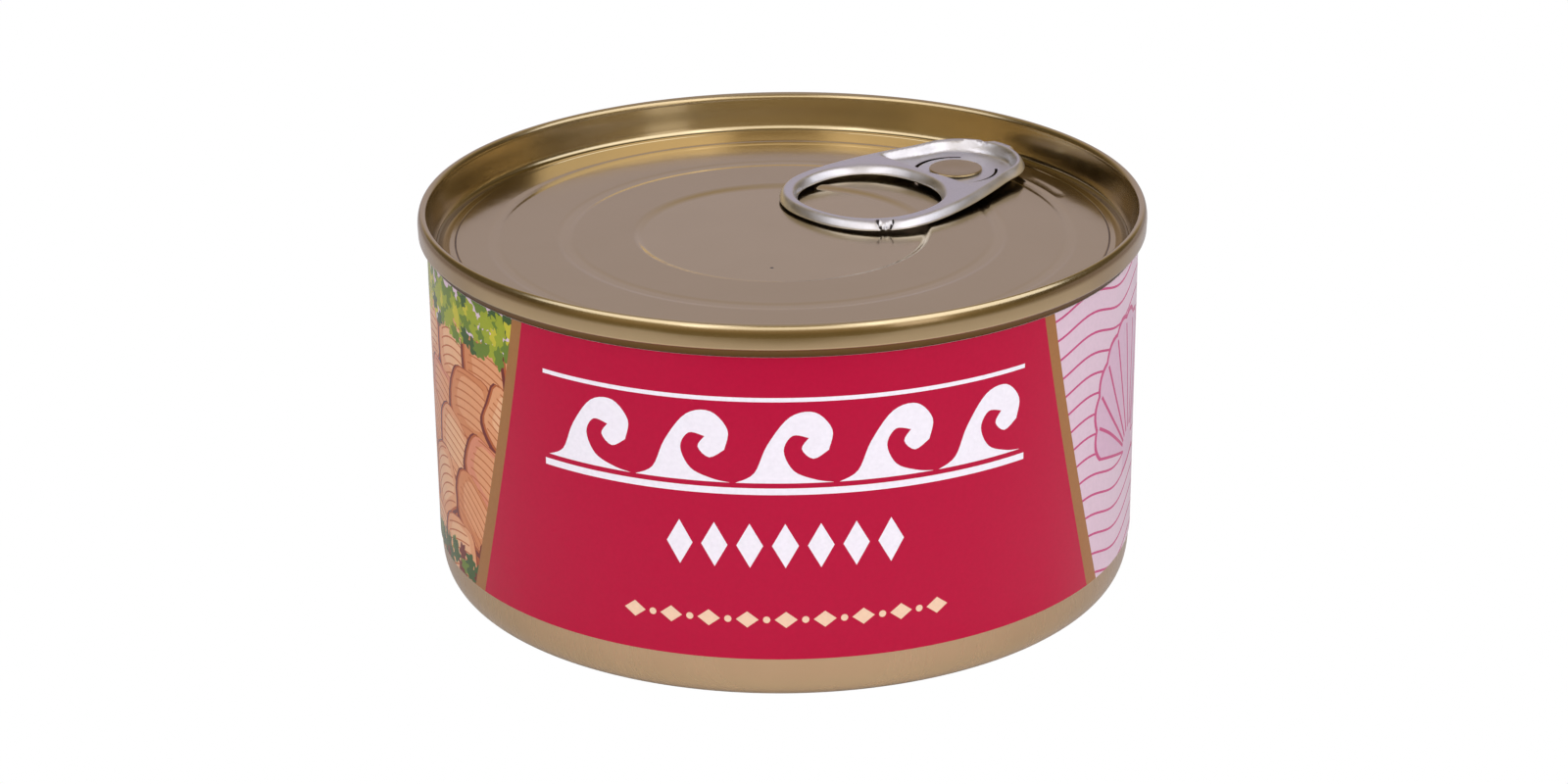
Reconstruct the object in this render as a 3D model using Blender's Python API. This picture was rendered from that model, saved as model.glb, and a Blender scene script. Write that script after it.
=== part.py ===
"""Shut, full easy-open tuna can: drawn tinplate body, seamed lid, ring-pull tab and paper label.

Metres, +Z up. The origin is under the middle of the can, on the surface it stands on.
The can stands upright and the tab lies to the right of the middle, its nose to the back.
Profiles are half sections (radius, height) in millimetres, turned about the Z axis.
"""
import math

import bmesh
import bpy
from mathutils import Matrix, Vector

MM = 0.001

# Driving dimensions of the can, in millimetres
CAN_HEIGHT = 46.0
SEAM_RADIUS = 43.65
BODY_RADIUS = 42.35
GAP = 0.25
AROUND = 72

# Double seam at the top of the lid
SEAM_CREST_RADIUS = 43.05
SEAM_INNER_RADIUS = 42.46
SEAM_INNER_DROP = 0.8
SEAM_SHOULDER_DROP = 1.5
SEAM_FOOT_HEIGHT = 43.0
SEAM_HOOK_RADIUS = 0.4

# Chuck wall and countersink inside the seam
CHUCK_WALL = ((41.1, 41.3), (41.6, 41.9), (41.9, 42.6), (42.05, 43.2), (42.3, 44.4))
COUNTERSINK_RADIUS = 40.65
COUNTERSINK_HEIGHT = 41.05

# Lid panel, its pressed rings and its recessed middle
PANEL_HEIGHT = 41.75
PANEL_EDGE_RADIUS = 40.0
SCORE_RADIUS = 39.25
SCORE_HALF_WIDTH = 0.15
SCORE_DEPTH = 0.12
RING_RADII = (26.15, 34.7)
RING_HALF_WIDTHS = (1.2, 0.9)
RING_DEPTH = 0.15
WELL_OUTER_RADIUS = 17.8
WELL_INNER_RADIUS = 16.6
WELL_HEIGHT = 41.3
LID_UNDERSIDE = 40.75

# Body wall up to the lid, standing ring and base
BODY_TOP = 40.45
STAND_RADIUS = 39.0
STAND_HALF_WIDTH = 0.7
BASE_RECESS = 1.3
BASE_RECESS_RADIUS = 36.3
BASE_CORNER_TOP = 5.0
BASE_RING_RADII = (15.5, 31.5)
BASE_RING_HALF_WIDTH = 1.4
BASE_RING_DEPTH = 0.3

# Paper label, a sleeve round the body wall
LABEL_BOTTOM = 5.4
LABEL_TOP = 41.9
LABEL_THICKNESS = 0.15

# Rivet, formed from the lid's own metal
RIVET_FROM_MIDDLE = 30.0
RIVET_AZIMUTH = 43.2
RIVET_STEM_RADIUS = 2.2
RIVET_HEAD_RADIUS = 3.2
RIVET_HEAD_BOTTOM = 42.62
RIVET_TOP = 42.87

# Pull tab, in its own axes: x runs from the rivet to the nose, y is across
TAB_AZIMUTH = 41.7
TAB_NOSE = 8.6
TAB_SHOULDER_X = 1.4
TAB_SHOULDER_HALF = 8.2
TAB_RING_X = -15.0
TAB_RING_HALF = 11.7
TAB_END = -24.9
TAB_NOSE_POWER = 2.0
TAB_END_POWER = 2.2
TAB_EDGE_ROUND = 0.6
TAB_TOP_AT_END = 42.9
TAB_TOP_AT_NOSE = 43.9
TAB_BOTTOM_AT_END = 41.6
TAB_BOTTOM_AT_NOSE = 42.3
TAB_WEB_THICKNESS = 0.25

# Finger hole, web pocket, lance slit and rivet hole of the tab
HOLE_X = -14.9
HOLE_HALF_LENGTH = 8.05
HOLE_HALF_WIDTH = 9.1
HOLE_POWER = 2.25
HOLE_EDGE_ROUND = 0.45
POCKET_FLOOR_RADIUS = 5.6
POCKET_TOP_RADIUS = 6.9
SLIT_RADIUS = 5.1
SLIT_WIDTH = 0.35
SLIT_HINGE_HALF_ANGLE = 38.0
STEM_HOLE_RADIUS = 2.6

# Colours, all bare or lacquered metal but for the label
GOLD_LACQUER = (0.42, 0.27, 0.12, 1.0)
LID_LACQUER = (0.36, 0.27, 0.20, 1.0)
TAB_ALUMINIUM = (0.60, 0.58, 0.62, 1.0)
LABEL_RED = (0.42, 0.01, 0.04, 1.0)


def make_material(name, colour, roughness, metallic):
    """A plain Principled material."""
    material = bpy.data.materials.new(name)
    material.use_nodes = True
    shader = material.node_tree.nodes["Principled BSDF"]
    shader.inputs["Base Color"].default_value = colour
    shader.inputs["Roughness"].default_value = roughness
    shader.inputs["Metallic"].default_value = metallic
    return material


def arc(centre, half_width, half_height, start, end, steps):
    """Points of an ellipse's arc in a half section; angles in degrees from +radius to +height."""
    points = []
    for step in range(steps + 1):
        angle = math.radians(start + (end - start) * step / steps)
        radius = centre[0] + half_width * math.cos(angle)
        height = centre[1] + half_height * math.sin(angle)
        points.append((radius, height))
    return points


def pressed_ring(radius, half_width, height, depth):
    """A shallow channel pressed into a level panel, from its inner to its outer edge."""
    return [
        (radius - half_width, height),
        (radius - half_width * 0.4, height + depth),
        (radius + half_width * 0.4, height + depth),
        (radius + half_width, height),
    ]


def link(mesh_name, shape, material):
    """Turn a bmesh into a linked object with one material and smooth faces."""
    bmesh.ops.recalc_face_normals(shape, faces=shape.faces)
    mesh = bpy.data.meshes.new(mesh_name)
    shape.to_mesh(mesh)
    shape.free()
    piece = bpy.data.objects.new(mesh_name, mesh)
    bpy.context.scene.collection.objects.link(piece)
    if material:
        mesh.materials.append(material)
    mesh.shade_smooth()
    mesh.set_sharp_from_angle(angle=math.radians(35))
    return piece


def turned(name, profile, material, closed=False, around=AROUND):
    """Spin a half section in millimetres about the Z axis."""
    shape = bmesh.new()
    verts = [shape.verts.new((radius * MM, 0.0, height * MM)) for radius, height in profile]
    edges = [shape.edges.new(pair) for pair in zip(verts, verts[1:])]
    if closed:
        edges.append(shape.edges.new((verts[-1], verts[0])))
    bmesh.ops.spin(
        shape,
        geom=verts + edges,
        cent=(0.0, 0.0, 0.0),
        axis=(0.0, 0.0, 1.0),
        angle=math.tau,
        steps=around,
        use_merge=True,
    )
    bmesh.ops.remove_doubles(shape, verts=shape.verts, dist=1e-7)
    return link(name, shape, material)


def lofted(name, loops, material):
    """Skin a stack of closed loops of equal count, with a flat cap on each end."""
    shape = bmesh.new()
    rows = [[shape.verts.new(Vector(point) * MM) for point in loop] for loop in loops]
    count = len(rows[0])
    for lower, upper in zip(rows, rows[1:]):
        for index in range(count):
            after = (index + 1) % count
            shape.faces.new((lower[index], lower[after], upper[after], upper[index]))
    shape.faces.new(rows[0])
    shape.faces.new(rows[-1])
    return link(name, shape, material)


def as_cutter(piece):
    """Keep a cutting shape out of the model."""
    piece.hide_render = True
    piece.display_type = "WIRE"
    return piece


def add_boolean(piece, operation, other):
    """Add an exact Boolean with another object."""
    modifier = piece.modifiers.new(operation.title() + " " + other.name, "BOOLEAN")
    modifier.operation = operation
    modifier.solver = "EXACT"
    modifier.object = other


def seam_profile():
    """The double seam from the chuck wall over the crest, its foot, and the neck rolled into it."""
    inner = (SEAM_CREST_RADIUS, CAN_HEIGHT - SEAM_INNER_DROP)
    outer = (SEAM_CREST_RADIUS, CAN_HEIGHT - SEAM_SHOULDER_DROP)
    inner_half = SEAM_CREST_RADIUS - SEAM_INNER_RADIUS
    outer_half = SEAM_RADIUS - SEAM_CREST_RADIUS
    hook = (SEAM_RADIUS - SEAM_HOOK_RADIUS, SEAM_FOOT_HEIGHT + SEAM_HOOK_RADIUS)
    return (
        arc(inner, inner_half, SEAM_INNER_DROP, 180, 90, 4)
        + arc(outer, outer_half, SEAM_SHOULDER_DROP, 90, 0, 4)[1:]
        + arc(hook, SEAM_HOOK_RADIUS, SEAM_HOOK_RADIUS, 0, -90, 3)
        + [(BODY_RADIUS, SEAM_FOOT_HEIGHT), (BODY_RADIUS, LID_UNDERSIDE)]
    )


def lid_profile():
    """The whole lid's half section, from the middle of its panel round to its underside."""
    well_middle = (WELL_OUTER_RADIUS + WELL_INNER_RADIUS) / 2
    panel = [
        (0.0, WELL_HEIGHT),
        (WELL_INNER_RADIUS, WELL_HEIGHT),
        (well_middle, (WELL_HEIGHT + PANEL_HEIGHT) / 2),
        (WELL_OUTER_RADIUS, PANEL_HEIGHT),
    ]
    for radius, half_width in zip(RING_RADII, RING_HALF_WIDTHS):
        panel += pressed_ring(radius, half_width, PANEL_HEIGHT, -RING_DEPTH)
    panel += [
        (SCORE_RADIUS - SCORE_HALF_WIDTH, PANEL_HEIGHT),
        (SCORE_RADIUS, PANEL_HEIGHT - SCORE_DEPTH),
        (SCORE_RADIUS + SCORE_HALF_WIDTH, PANEL_HEIGHT),
    ]
    shoulder = (PANEL_EDGE_RADIUS - 0.3, PANEL_HEIGHT - 0.3)
    panel += arc(shoulder, 0.3, 0.3, 90, 20, 3)
    trough = (COUNTERSINK_RADIUS, COUNTERSINK_HEIGHT + 0.35)
    panel += arc(trough, 0.4, 0.35, 200, 330, 4)
    return panel + list(CHUCK_WALL) + seam_profile() + [(0.0, LID_UNDERSIDE)]


def rivet_profile():
    """A button on a stem that starts inside the lid's metal."""
    chamfer = 0.12
    root = LID_UNDERSIDE + 0.3
    return [
        (0.0, RIVET_TOP),
        (RIVET_HEAD_RADIUS - chamfer, RIVET_TOP),
        (RIVET_HEAD_RADIUS, RIVET_TOP - chamfer),
        (RIVET_HEAD_RADIUS, RIVET_HEAD_BOTTOM),
        (RIVET_STEM_RADIUS, RIVET_HEAD_BOTTOM),
        (RIVET_STEM_RADIUS, root),
        (0.0, root),
    ]


def body_profile():
    """Base with its standing ring, rounded corner and straight wall, solid up to the lid."""
    base = [(0.0, BASE_RECESS)]
    for radius in BASE_RING_RADII:
        base += pressed_ring(radius, BASE_RING_HALF_WIDTH, BASE_RECESS, -BASE_RING_DEPTH)
    stand_inner = STAND_RADIUS - STAND_HALF_WIDTH
    stand_outer = STAND_RADIUS + STAND_HALF_WIDTH
    base += [
        (BASE_RECESS_RADIUS, BASE_RECESS),
        (BASE_RECESS_RADIUS + 0.8, BASE_RECESS - 0.25),
        (stand_inner - 0.5, 0.2),
        (stand_inner, 0.0),
        (stand_outer, 0.0),
    ]
    corner_width = BODY_RADIUS - stand_outer
    power = 2.7
    for step in range(1, 9):
        angle = math.radians(90 * step / 8)
        radius = stand_outer + corner_width * math.sin(angle) ** (2 / power)
        height = BASE_CORNER_TOP * (1 - math.cos(angle) ** (2 / power))
        base.append((radius, height))
    return base + [(BODY_RADIUS, BODY_TOP), (0.0, BODY_TOP)]


def label_profile():
    """The sleeve's thin closed half section."""
    inner = BODY_RADIUS + GAP
    outer = inner + LABEL_THICKNESS
    return [(outer, LABEL_TOP), (outer, LABEL_BOTTOM), (inner, LABEL_BOTTOM), (inner, LABEL_TOP)]


def rivet_place():
    """World place of the rivet's axis, in millimetres."""
    azimuth = math.radians(RIVET_AZIMUTH)
    return (RIVET_FROM_MIDDLE * math.cos(azimuth), RIVET_FROM_MIDDLE * math.sin(azimuth))


def tab_outline(steps):
    """Half-round nose, sides that swell into the ring, and a round ring end; counter-clockwise."""
    side = []
    for step in range(steps + 1):
        angle = math.radians(90 * step / steps)
        along = math.cos(angle) ** (2 / TAB_NOSE_POWER)
        across = math.sin(angle) ** (2 / TAB_NOSE_POWER)
        side.append((TAB_SHOULDER_X + (TAB_NOSE - TAB_SHOULDER_X) * along, TAB_SHOULDER_HALF * across))
    for step in range(1, steps):
        share = step / steps
        x = TAB_SHOULDER_X + (TAB_RING_X - TAB_SHOULDER_X) * share
        swell = math.sin(math.radians(90 * share))
        side.append((x, TAB_SHOULDER_HALF + (TAB_RING_HALF - TAB_SHOULDER_HALF) * swell))
    for step in range(steps + 1):
        angle = math.radians(90 * step / steps)
        along = math.sin(angle) ** (2 / TAB_END_POWER)
        across = math.cos(angle) ** (2 / TAB_END_POWER)
        side.append((TAB_RING_X + (TAB_END - TAB_RING_X) * along, TAB_RING_HALF * across))
    return side + [(x, -y) for x, y in reversed(side[1:-1])]


def oval(centre_x, half_length, half_width, power, count):
    """A superellipse in the tab's plan."""
    points = []
    for index in range(count):
        angle = math.tau * index / count
        cosine = math.cos(angle)
        sine = math.sin(angle)
        x = centre_x + half_length * math.copysign(abs(cosine) ** (2 / power), cosine)
        y = half_width * math.copysign(abs(sine) ** (2 / power), sine)
        points.append((x, y))
    return points


def inset(outline, distance):
    """Move each point of a counter-clockwise outline inwards, square to its neighbours."""
    moved = []
    count = len(outline)
    for index, (x, y) in enumerate(outline):
        before = Vector(outline[index - 1])
        after = Vector(outline[(index + 1) % count])
        along = (after - before).normalized()
        moved.append((x - along.y * distance, y + along.x * distance))
    return moved


def tab_height(x, at_end, at_nose):
    """Height of a face of the tab that rises evenly from the ring end to the nose."""
    return at_end + (at_nose - at_end) * (x - TAB_END) / (TAB_NOSE - TAB_END)


def tab_level(outline, lift, at_end, at_nose):
    """Put an outline on a sloping face of the tab."""
    return [(x, y, tab_height(x, at_end, at_nose) + lift) for x, y in outline]


def rounded_levels(outline, edge, flare):
    """Loops from the tab's bottom face to its top face with rounded edges.

    flare 1 draws the edge in, for the tab's own outline, and -1 lets it out, for a hole.
    """
    levels = []
    for angle in (0, 45, 90):
        draw_in = edge * (1 - math.sin(math.radians(angle))) * flare
        lift = edge * (1 - math.cos(math.radians(angle)))
        shaped = inset(outline, draw_in)
        levels.append(tab_level(shaped, lift, TAB_BOTTOM_AT_END, TAB_BOTTOM_AT_NOSE))
    for angle in (90, 45, 0):
        draw_in = edge * (1 - math.sin(math.radians(angle))) * flare
        lift = -edge * (1 - math.cos(math.radians(angle)))
        shaped = inset(outline, draw_in)
        levels.append(tab_level(shaped, lift, TAB_TOP_AT_END, TAB_TOP_AT_NOSE))
    return levels


def hole_cutter():
    """The finger hole, flared at both faces so that its edges come out rounded."""
    outline = oval(HOLE_X, HOLE_HALF_LENGTH, HOLE_HALF_WIDTH, HOLE_POWER, 48)
    levels = rounded_levels(outline, HOLE_EDGE_ROUND, -1)
    wide = inset(outline, -HOLE_EDGE_ROUND)
    levels.insert(0, tab_level(wide, -1.0, TAB_BOTTOM_AT_END, TAB_BOTTOM_AT_NOSE))
    levels.append(tab_level(wide, 1.0, TAB_TOP_AT_END, TAB_TOP_AT_NOSE))
    return as_cutter(lofted("finger_hole_cutter", levels, None))


def pocket_cutter():
    """The dished space round the rivet, down to the web."""
    floor = oval(0.0, POCKET_FLOOR_RADIUS, POCKET_FLOOR_RADIUS, 2.0, 36)
    mouth = oval(0.0, POCKET_TOP_RADIUS, POCKET_TOP_RADIUS, 2.0, 36)
    levels = [
        tab_level(floor, TAB_WEB_THICKNESS, TAB_BOTTOM_AT_END, TAB_BOTTOM_AT_NOSE),
        tab_level(mouth, 0.0, TAB_TOP_AT_END, TAB_TOP_AT_NOSE),
        tab_level(mouth, 1.0, TAB_TOP_AT_END, TAB_TOP_AT_NOSE),
    ]
    return as_cutter(lofted("web_pocket_cutter", levels, None))


def slit_cutter():
    """The slit that frees the rivet's tongue, open towards the nose where the tongue hinges."""
    start = SLIT_HINGE_HALF_ANGLE
    sweep = 360 - 2 * SLIT_HINGE_HALF_ANGLE
    steps = 20
    outline = []
    for radius, order in ((SLIT_RADIUS + SLIT_WIDTH / 2, 1), (SLIT_RADIUS - SLIT_WIDTH / 2, -1)):
        row = []
        for step in range(steps + 1):
            angle = math.radians(start + sweep * step / steps)
            row.append((radius * math.cos(angle), radius * math.sin(angle)))
        outline += row[::order]
    levels = [
        tab_level(outline, -0.5, TAB_BOTTOM_AT_END, TAB_BOTTOM_AT_NOSE),
        tab_level(outline, 1.0, TAB_BOTTOM_AT_END, TAB_BOTTOM_AT_NOSE),
    ]
    return as_cutter(lofted("slit_cutter", levels, None))


def stem_hole_cutter():
    """The hole in the web for the rivet's stem."""
    outline = oval(0.0, STEM_HOLE_RADIUS, STEM_HOLE_RADIUS, 2.0, 24)
    levels = [
        tab_level(outline, -0.5, TAB_BOTTOM_AT_END, TAB_BOTTOM_AT_NOSE),
        tab_level(outline, 1.0, TAB_BOTTOM_AT_END, TAB_BOTTOM_AT_NOSE),
    ]
    return as_cutter(lofted("stem_hole_cutter", levels, None))


def make_lid(material):
    """Lid with the rivet fused on."""
    lid = turned("lid", lid_profile(), material)
    rivet = as_cutter(turned("rivet_form", rivet_profile(), None, around=32))
    x, y = rivet_place()
    rivet.location = (x * MM, y * MM, 0.0)
    add_boolean(lid, "UNION", rivet)
    return lid


def make_tab(material):
    """Pull tab laid flat on the lid, its frame on the rivet's axis."""
    outline = tab_outline(14)
    tab = lofted("pull_tab", rounded_levels(outline, TAB_EDGE_ROUND, 1), material)
    x, y = rivet_place()
    place = Matrix.Translation((x * MM, y * MM, 0.0)) @ Matrix.Rotation(math.radians(TAB_AZIMUTH), 4, "Z")
    tab.matrix_world = place
    for cutter in (hole_cutter(), pocket_cutter(), slit_cutter(), stem_hole_cutter()):
        cutter.matrix_world = place
        add_boolean(tab, "DIFFERENCE", cutter)
    return tab


def main():
    for old in list(bpy.data.objects):
        bpy.data.objects.remove(old, do_unlink=True)
    body_gold = make_material("gold_lacquered_tinplate_body", GOLD_LACQUER, 0.25, 1.0)
    lid_gold = make_material("gold_lacquered_tinplate_lid", LID_LACQUER, 0.2, 1.0)
    aluminium = make_material("stamped_aluminium", TAB_ALUMINIUM, 0.3, 1.0)
    paper = make_material("gloss_printed_paper", LABEL_RED, 0.25, 0.0)
    turned("can_body", body_profile(), body_gold)
    make_lid(lid_gold)
    turned("label", label_profile(), paper, closed=True)
    make_tab(aluminium)


main()
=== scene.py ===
import math
import random

import bpy
import numpy as np
from mathutils import Matrix, Vector
from mathutils.geometry import delaunay_2d_cdt


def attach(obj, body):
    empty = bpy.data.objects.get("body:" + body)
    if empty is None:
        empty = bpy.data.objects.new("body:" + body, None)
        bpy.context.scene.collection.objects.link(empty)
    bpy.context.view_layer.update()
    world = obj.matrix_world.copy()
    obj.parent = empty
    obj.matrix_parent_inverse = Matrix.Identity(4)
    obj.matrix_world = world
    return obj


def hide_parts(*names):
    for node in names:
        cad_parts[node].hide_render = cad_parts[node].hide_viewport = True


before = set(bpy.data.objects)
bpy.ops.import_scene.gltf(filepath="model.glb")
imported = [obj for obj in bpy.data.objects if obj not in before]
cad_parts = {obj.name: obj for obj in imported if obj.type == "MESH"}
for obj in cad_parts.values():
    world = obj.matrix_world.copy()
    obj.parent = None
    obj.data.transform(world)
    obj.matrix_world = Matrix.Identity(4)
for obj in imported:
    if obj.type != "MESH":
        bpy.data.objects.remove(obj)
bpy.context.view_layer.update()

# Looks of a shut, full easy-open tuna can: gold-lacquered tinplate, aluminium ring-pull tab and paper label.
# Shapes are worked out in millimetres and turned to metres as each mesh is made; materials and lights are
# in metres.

MM = 0.001

# The can, in millimetres, and the facets round it
CAN_HEIGHT = 46.0
SEAM_RADIUS = 43.65
WALL_RADIUS = 42.5
AROUND = 288

# Double seam round the lid
CREST_RADIUS = 43.05
SEAM_INNER_RADIUS = 42.46
SEAM_INNER_DROP = 0.8
SEAM_SHOULDER_DROP = 1.5
SEAM_FOOT_HEIGHT = 43.0
SEAM_HOOK_RADIUS = 0.35
SEAM_DRAFT = 0.04

# Cove of the neck, from the seam's foot to the wall
SEAM_COVE = ((43.05, 42.99), (42.84, 42.91), (42.69, 42.72), (42.6, 42.4), (42.57, 41.9))

# From the panel's edge down through the countersink and up the chuck wall
COUNTERSINK_AND_CHUCK_WALL = (
    (39.65, 41.75), (40.0, 41.74), (40.28, 41.63), (40.8, 41.36), (41.12, 41.22), (41.4, 41.2),
    (41.66, 41.38), (41.84, 41.78), (41.96, 42.35), (42.12, 43.2), (42.3, 44.3),
)

# Lid panel; each ring is its radius, half width and depth
PANEL_HEIGHT = 41.75
WELL_RADII = (16.8, 18.1)
WELL_DEPTH = 0.36
RINGS = ((26.15, 1.15, 0.09), (34.7, 0.9, 0.06))
SCORE_RADIUS = 39.25
SCORE_HALF_WIDTH = 0.12
SCORE_DEPTH = 0.16
SIDE_BEAD_RADIUS = 36.4
SIDE_BEAD_AZIMUTHS = ((19.0, 32.0), (52.0, 65.0))
SIDE_BEAD_HALF_WIDTH = 0.45
SIDE_BEAD_DEPTH = 0.12
SIDE_BEAD_END = 1.5
LID_UNDERSIDE = 40.75

# Body wall and base; the rings as on the lid
BODY_TOP = 40.45
STAND_RADII = (38.3, 39.7)
BASE_RECESS = 1.3
BASE_RECESS_RADIUS = 36.3
BASE_CORNER_TOP = 5.0
BASE_CORNER_POWER = 2.7
BASE_RINGS = ((15.5, 1.4, 0.3), (31.5, 1.4, 0.3))

# Label sleeve, and the lap where its ends meet at the back
LABEL_RADIUS = 42.67
LABEL_THICKNESS = 0.1
LABEL_BOTTOM = 5.35
LABEL_TOP = 41.95
LABEL_LAP = 7.0
LABEL_ROUND = math.tau * LABEL_RADIUS
LABEL_FACETS = 240

# The label's print: widths from the middle of each panel or field, heights from the can's base
PANEL_TOP_HALF_WIDTH = 32.4
PANEL_FLARE = (0.192, 0.00187)
BORDER_WIDTHS = (1.65, 2.35)
WAVE_COUNT = 5
WAVE_PITCH = 11.6
WAVE_FOOT = 27.0
RULE_HALF_LENGTH = 29.3
DIAMOND_PITCH = 4.0
DIAMOND_HEIGHT = 19.4
LOZENGE_PITCH = 4.4
LOZENGE_HEIGHT = 10.3
FIELD_HALF_WIDTH = 34
FLAKES_TOP = 35.5

# Rivet and pull tab; the tab's x runs from the rivet to its nose
RIVET_FROM_MIDDLE = 30.0
RIVET_AZIMUTH = 43.2
RIVET_RADIUS = 3.35
RIVET_STEM_RADIUS = 2.2
RIVET_EDGE = 0.16
RIVET_DISH = 0.04
RIVET_TOP = 42.78
TAB_AZIMUTH = 41.7
TAB_NOSE = 8.6
TAB_SHOULDER = (1.4, 8.2)
TAB_RING = (-15.0, 11.7)
TAB_END = -24.9
TAB_END_POWER = 2.2
TAB_TOP_HEIGHTS = (42.72, 44.15)
TAB_THICKNESS = 1.25
TAB_BEVEL = (0.7, 0.98)
TAB_UNDER_ROUND = 0.2
BEVEL_POWER = 1.6
BEAD_WIDTH = 1.0
BEAD_SLOPE = 0.6
POCKET_START = -5.3
POCKET_RAMP = 1.8
WEB_HEIGHT = 42.5
WEB_THICKNESS = 0.4
HOLE_X = -14.9
HOLE_HALF = (8.05, 9.08)
HOLE_POWER = 2.25
HOLE_BEVEL = (0.75, 1.02)
HOLE_UNDER_ROUND = 0.15
SLIT_RADIUS = 5.1
SLIT_WIDTH = 0.36
SLIT_HINGE_HALF_ANGLE = 38.0
TONGUE_SAG = 0.22
STEM_HOLE_RADIUS = 2.6
NOSE_LIP = 0.45
NOSE_LIP_HALF_WIDTH = 2.2
NOSE_LIP_BLEND = 0.35
NOSE_NOTCH = 0.3
WEB_EDGE_ROUND = 0.06
EDGE_SPACING = 0.17
SLIT_SPACING = 0.15
PLAN_SPACING = 0.24

# Crimp on the ring's front edge: two small nicks that run together towards the outside
CRIMP_PLACE = (-21.2, -9.6)
CRIMP_HEADING = -40.6
CRIMP_HALF_GAP = 0.3
CRIMP_SPREAD = 0.75
CRIMP_HALF_WIDTH = 0.33
CRIMP_DEPTH = 0.8
CRIMP_NOTCH = 0.5
CRIMP_REACH = 0.85

# The photo's camera
CAMERA_LENS = 79.83
CAMERA_SENSOR = 36.0
CAMERA_DISTANCE = 426.65
CAMERA_TARGET_HEIGHT = 20.79
CAMERA_ELEVATION = 21.873
CAMERA_ROLL = -0.558

# Tones of the studio
WHITE = "#ffffff"
LAMP_WHITE = "#f8f7ff"
FLOOR_WHITE = "#f9f9f9"
# Painted shade that the table shows in reflections
TABLE_SHADE_IN_FRONT = "#867955"
TABLE_SHADE_BEHIND = "#998e90"
ROOM_DIM = "#a2906f"
ROOM_DARK = "#5d5038"
ROOM_WALL = "#b4a9b1"
ROOM_CEILING = "#ada3a6"
ROOM_FILL = "#a2a2a4"

# Painted shade tones for the lid's chuck wall, groove, score line, seam face and neck, the radii in metres
# over which drawing roughens the metal, and a speck of dirt
PAINTED_SHADE_TONES = {
    "wall": "#bba77c", "groove": "#86733f", "score": "#6b5640", "seam": "#b8a078", "neck": "#664820",
}
DRAWN_RADII = (0.0415, 0.0421)
SPECK_PLACE = (-0.00128, -0.01219, 0.0413)


def linear(hex_colour):
    """An sRGB hex colour as linear RGBA."""
    values = []
    for start in (1, 3, 5):
        part = int(hex_colour[start:start + 2], 16) / 255
        values.append(part / 12.92 if part <= 0.04045 else ((part + 0.055) / 1.055) ** 2.4)
    return (*values, 1.0)


def add(tree, kind, inputs=None, **settings):
    """Add a shader node; an input is a value or the socket that feeds it."""
    node = tree.nodes.new("ShaderNode" + kind)
    for name, value in settings.items():
        setattr(node, name, value)
    for key, value in (inputs or {}).items():
        if isinstance(value, bpy.types.NodeSocket):
            tree.links.new(value, node.inputs[key])
        else:
            node.inputs[key].default_value = value
    return node


def new_material(name):
    """A material with its node tree, its shader and the object's own coordinates in metres."""
    material = bpy.data.materials.new(name)
    material.use_nodes = True
    tree = material.node_tree
    shader = tree.nodes["Principled BSDF"]
    place = add(tree, "TexCoord").outputs["Object"]
    return material, tree, shader, place


def set_shader(tree, shader, **values):
    """Set the shader's sockets; an underscore in a name stands for a space."""
    for name, value in values.items():
        socket = shader.inputs[name.replace("_", " ")]
        if isinstance(value, bpy.types.NodeSocket):
            tree.links.new(value, socket)
        else:
            socket.default_value = value


def gold_lacquered_tinplate(name, light, dark, roughness, grain, painted_shade=False):
    """Tinplate, rolled, then roller-coated with a clear gold lacquer.

    The metal under the lacquer gives a brassy mirror, softened by the rolling grain along X; the lacquer
    gives a second, sharper and colourless gloss, slightly uneven like orange peel.
    """
    material, tree, shader, place = new_material(name)
    # Rolling lines about 0.1 mm apart in reality, drawn 0.35 mm apart so that they show
    stretched = add(tree, "Mapping", {"Vector": place, "Scale": (60.0, 2800.0, 60.0)}).outputs[0]
    lines = add(tree, "TexNoise", {"Vector": stretched, "Scale": 1.0, "Detail": 2.0}).outputs["Fac"]
    # Lacquer thickness drifts over about 8 mm
    drift = add(tree, "TexNoise", {"Vector": place, "Scale": 120.0, "Detail": 3.0}).outputs["Fac"]
    # Orange peel of about 0.6 mm
    peel = add(tree, "TexNoise", {"Vector": place, "Scale": 1600.0, "Detail": 1.0}).outputs["Fac"]
    colour = add(tree, "Mix", {0: drift, 6: linear(dark), 7: linear(light)}, data_type="RGBA").outputs[2]
    spread = {0: lines, 1: 0.3, 2: 0.7, 3: roughness * 0.93, 4: roughness * 1.08}
    rough = add(tree, "MapRange", spread).outputs[0]
    if painted_shade:
        # Painted shade on the chuck wall, groove, score line, seam face and neck
        colour = painted_shade_and_speck(tree, place, colour)
        # Drawing roughens the chuck wall and the seam
        start, end = DRAWN_RADII
        radius = radius_of(tree, place)
        drawn = add(tree, "MapRange", {0: radius, 1: start, 2: end, 3: 1.0, 4: 1.35}).outputs[0]
        rough = add(tree, "Math", {0: rough, 1: drawn}, operation="MULTIPLY").outputs[0]
    # Handling leaves the sheet very slightly wavy over about 7 mm
    wave = add(tree, "TexNoise", {"Vector": place, "Scale": 140.0, "Detail": 2.0}).outputs["Fac"]
    bump = add(tree, "Bump", {"Strength": 0.5, "Distance": 0.00006, "Height": wave}).outputs[0]
    for strength, height in ((grain, lines), (0.1, peel)):
        layer = {"Strength": strength, "Distance": 0.00001, "Height": height, "Normal": bump}
        bump = add(tree, "Bump", layer).outputs[0]
    set_shader(
        tree, shader, Base_Color=colour, Metallic=1.0, Roughness=rough, Normal=bump,
        Coat_Weight=0.3, Coat_Roughness=0.06, Coat_IOR=1.5,
    )
    return material


def radius_of(tree, place):
    """Distance from the can's axis."""
    flat = add(tree, "VectorMath", {0: place, 1: (1.0, 1.0, 0.0)}, operation="MULTIPLY").outputs[0]
    return add(tree, "VectorMath", {0: flat}, operation="LENGTH").outputs["Value"]


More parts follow.
